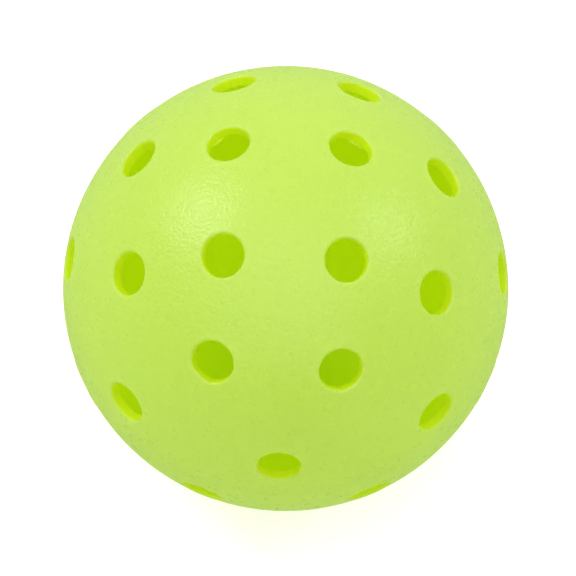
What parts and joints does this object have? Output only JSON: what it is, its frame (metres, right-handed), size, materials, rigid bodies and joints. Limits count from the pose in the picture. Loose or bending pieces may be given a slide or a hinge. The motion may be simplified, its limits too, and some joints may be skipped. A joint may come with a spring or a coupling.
{
  "type": "perforated plastic ball",
  "caption": "Hollow perforated ball for pickleball: thin moulded half shells welded at a stepped seam, with round holes in rings.",
  "frame": {"origin": "centre of the ball", "axes": "+Z along the moulds' axis through the middle of the upper half's ring of four holes, +X through a hole of that half's lowest ring; the weld seam lies in the XY plane"},
  "size_m": [0.074, 0.074, 0.074],
  "materials": {
    "shell_plastic": "lime green moulded polyethylene, fine pebbled satin",
    "weld_plastic": "the same polyethylene, melted and set"
  },
  "bodies": {
    "root": {"upper_half_shell": "shell_plastic", "lower_half_shell": "shell_plastic", "weld_bead": "weld_plastic"}
  },
  "joints": []
}
